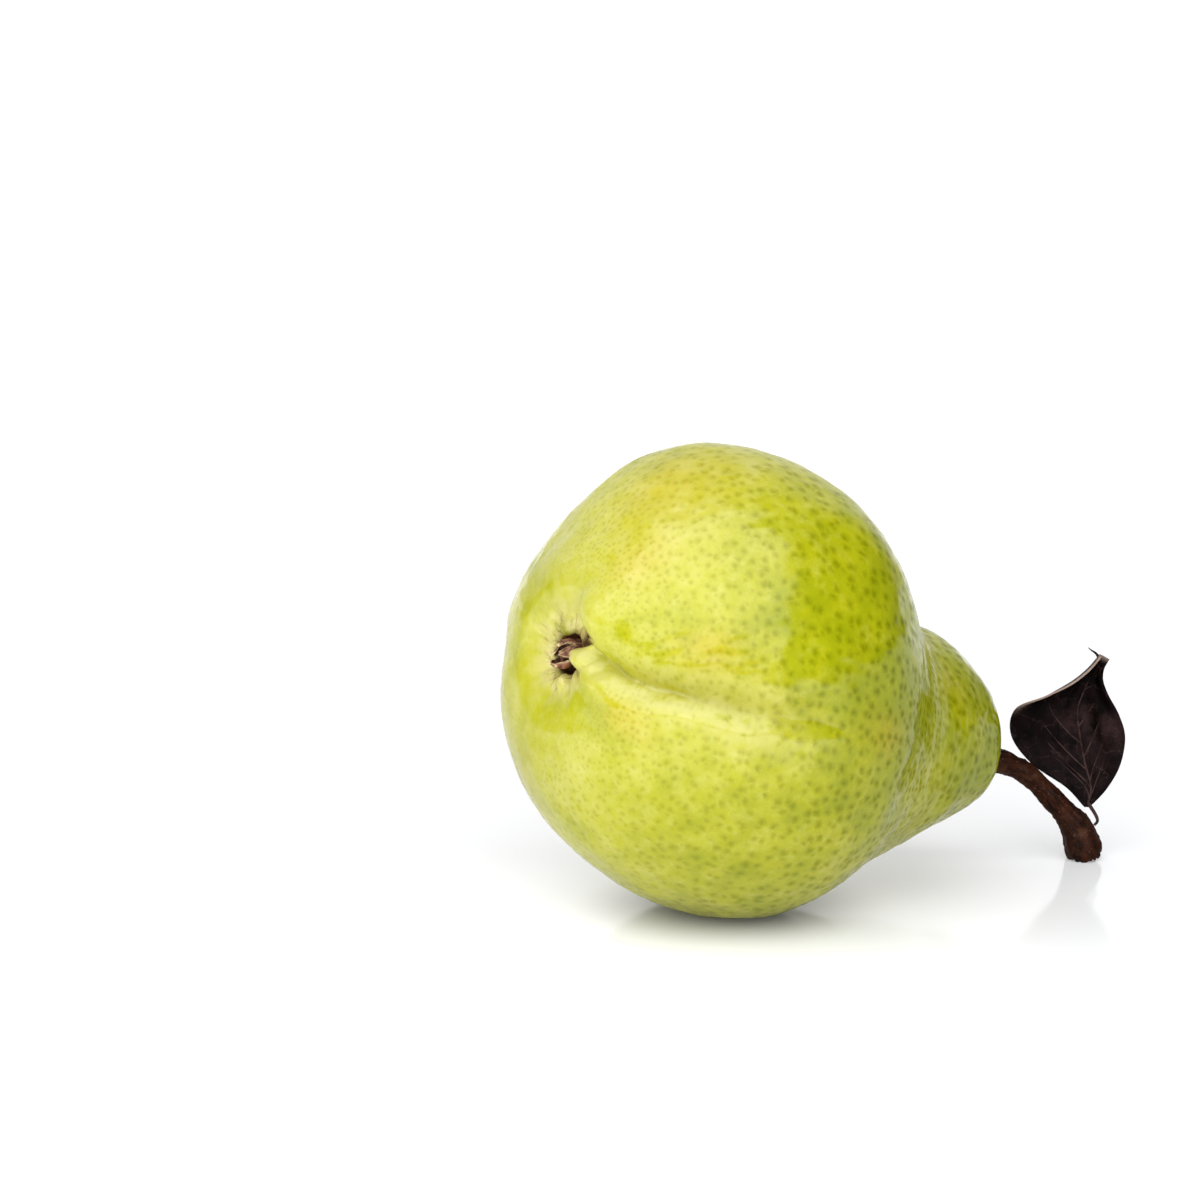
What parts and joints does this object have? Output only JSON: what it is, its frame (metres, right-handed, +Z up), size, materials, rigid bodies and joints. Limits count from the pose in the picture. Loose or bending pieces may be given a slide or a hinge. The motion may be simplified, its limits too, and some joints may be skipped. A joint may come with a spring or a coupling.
{
  "type": "pear",
  "caption": "Ripe green pear lying on its side, with a furrowed cheek, a dried calyx in its eye, a woody bent stem and one withered leaf.",
  "frame": {"origin": "on the resting surface, under the middle of the whole part's box", "axes": "+X from the eye towards the stem, +Y to the back, +Z up; the camera side is -Y"},
  "size_m": [0.1112, 0.0706, 0.0759],
  "materials": {
    "skin": "thin waxy yellow-green skin with small green dots, satin",
    "dried_calyx": "dry, papery, dull",
    "bark": "dark red-brown bark, dull, finely wrinkled",
    "dried_leaf": "nearly black withered leaf with faint paler veins, dull satin"
  },
  "bodies": {
    "root": {"fruit": "skin", "calyx": "dried_calyx", "stem": "bark", "leaf": "dried_leaf"}
  },
  "joints": []
}
